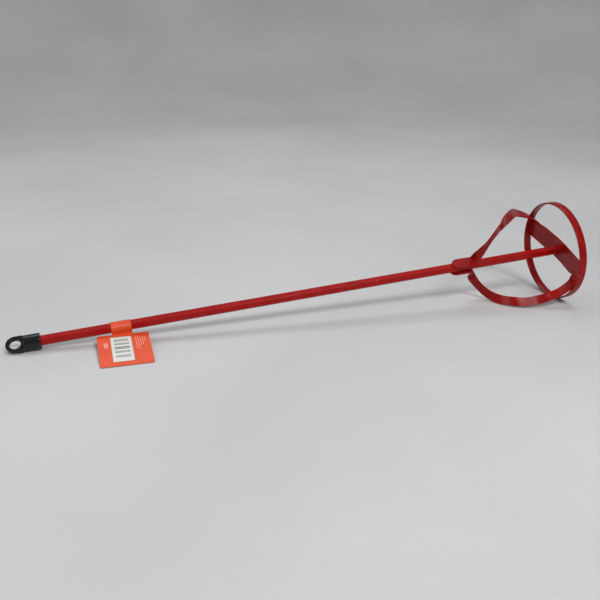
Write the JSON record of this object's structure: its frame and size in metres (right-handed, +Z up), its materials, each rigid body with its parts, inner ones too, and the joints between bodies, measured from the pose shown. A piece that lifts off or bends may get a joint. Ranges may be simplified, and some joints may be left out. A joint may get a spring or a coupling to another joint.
{
  "type": "drill paint mixer",
  "caption": "Drill-driven paint and mud mixer: a long hexagonal bar with a hoop head, a cross vane and two curved arms, a push-on hanging cap and a paper tag.",
  "frame": {"origin": "on the surface the mixer lies on, under the middle of its bounding box", "axes": "+Z up, +X along the mixer from its hanging cap to its hoop, which leans 4.70 degrees down towards the cap, and +Y away from the side that the tag stands out on"},
  "size_m": [0.7118, 0.1367, 0.1304],
  "materials": {
    "painted_bar": "gloss",
    "painted_blade": "gloss",
    "painted_weld": "gloss",
    "black_plastic": "satin",
    "tag_paper": "satin",
    "label_paper": "matte"
  },
  "bodies": {
    "mixer": {"shaft": "painted_bar", "mixing_blade": "painted_blade", "hoop": "painted_blade", "upper_tab_weld": "painted_weld", "lower_tab_weld": "painted_weld", "shaft_end_weld": "painted_weld", "near_hoop_weld": "painted_weld", "far_hoop_weld": "painted_weld", "hoop_seam_weld": "painted_weld"},
    "cap": {"hanging_cap": "black_plastic"},
    "tag": {"tag_card": "tag_paper", "barcode_label": "label_paper"}
  },
  "joints": [
    {"name": "cap_pull", "type": "slide", "parent": "mixer", "child": "cap", "axis": [-0.9966, 0, -0.0819], "range_m": [0, 0.03]},
    {"name": "tag_turn", "type": "hinge", "parent": "mixer", "child": "tag", "pos_m": [-0.22755, 0.00364, 0.01808], "axis": [0.9966, 0, 0.0819], "continuous": true}
  ]
}
